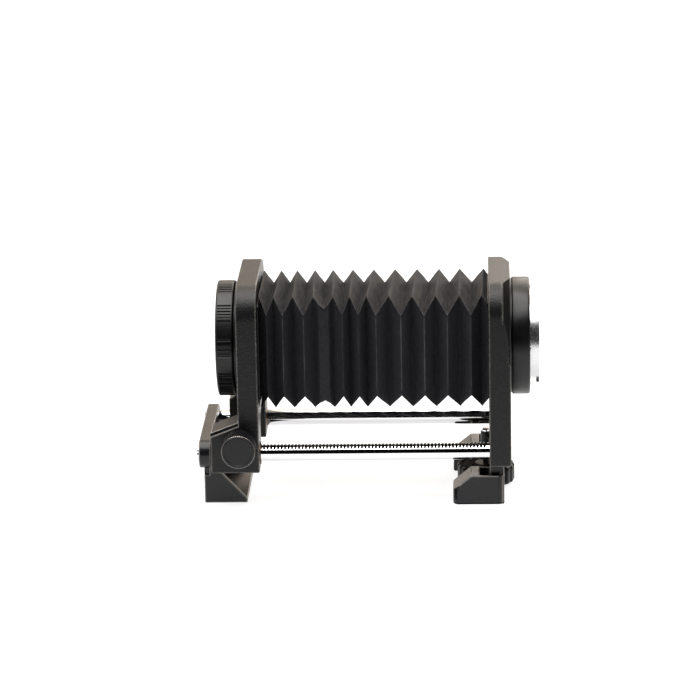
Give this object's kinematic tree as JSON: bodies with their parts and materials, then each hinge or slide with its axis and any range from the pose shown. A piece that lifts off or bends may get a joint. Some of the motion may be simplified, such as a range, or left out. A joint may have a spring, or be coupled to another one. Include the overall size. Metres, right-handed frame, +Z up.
{
  "type": "macro bellows unit",
  "caption": "Macro focusing bellows on twin rails: lens and camera standards, pleated bellows, rack and pinion focusing, end bracket and tripod foot.",
  "frame": {"origin": "mouth of the tripod socket, on the ground under the rear foot", "axes": "+X towards the camera along the rails, +Y away from the focusing knob, +Z up"},
  "size_m": [0.1721, 0.1031, 0.1123],
  "materials": {
    "chrome": "polished chrome plate on steel",
    "chrome_seat": "satin chrome plate on brass",
    "crinkle_black": "fine crinkle black paint on die-cast aluminium",
    "satin_black": "satin black paint on die-cast aluminium",
    "anodised_black": "semi-gloss black anodising",
    "wheel_black": "moulded black plastic",
    "bellows_cloth": "matt rubberised cloth, folded",
    "brass": "turned brass",
    "steel": "bright turned steel",
    "black_steel": "blackened steel"
  },
  "bodies": {
    "base": {"rack_rail": "chrome", "plain_rail": "chrome", "end_bracket": "satin_black", "bracket_grub_screws": "black_steel", "rear_standard": "crinkle_black", "leg_grub_screws": "black_steel", "camera_ring": "anodised_black", "camera_ring_screws": "steel", "camera_bayonet": "chrome_seat", "bayonet_screws": "steel", "rear_bellows_frame": "black_steel", "rear_frame_screws": "steel", "bellows": "bellows_cloth", "tripod_foot": "satin_black", "tripod_bush": "black_steel", "clamp_bolt": "black_steel", "clamp_bolt_cap": "chrome"},
    "front": {"front_standard": "crinkle_black", "rack_rail_bushes": "brass", "plain_rail_bushes": "brass", "pinion_bushes": "brass", "lens_flange": "anodised_black", "lens_flange_screws": "steel", "ring_retainer": "steel", "front_bellows_frame": "black_steel", "front_frame_screws": "steel", "lock_shoe": "brass"},
    "lens_ring": {"lens_ring": "anodised_black"},
    "pinion": {"pinion_shaft": "steel", "pinion_gear": "brass", "focus_knob": "anodised_black", "knob_grub_screw": "steel", "pinion_clip": "black_steel"},
    "lock": {"lock_screw": "steel", "lock_knob": "anodised_black"},
    "wheel": {"clamp_wheel": "wheel_black"}
  },
  "joints": [
    {"name": "standard_slide", "type": "slide", "parent": "base", "child": "front", "axis": [1, 0, 0], "range_m": [0, 0.08], "deforming": ["bellows"]},
    {"name": "pinion_turn", "type": "hinge", "parent": "front", "child": "pinion", "pos_m": [-0.12258, -0.0308, 0.03394], "axis": [0, 1, 0], "range_deg": [0, 1176]},
    {"name": "lens_ring_turn", "type": "hinge", "parent": "front", "child": "lens_ring", "pos_m": [-0.1345, 0, 0.0778], "axis": [1, 0, 0], "range_deg": [0, 40]},
    {"name": "lock_turn", "type": "hinge", "parent": "front", "child": "lock", "pos_m": [-0.12245, 0.0308, 0.0263], "axis": [0, 1, 0], "range_deg": [0, 120]},
    {"name": "clamp_wheel_turn", "type": "hinge", "parent": "base", "child": "wheel", "pos_m": [0, 0, 0], "axis": [0, 0, 1], "range_deg": [-180, 180]}
  ],
  "couplings": [
    {"joint": "pinion_turn", "follows": "standard_slide", "rad_per_m": 256.46}
  ]
}
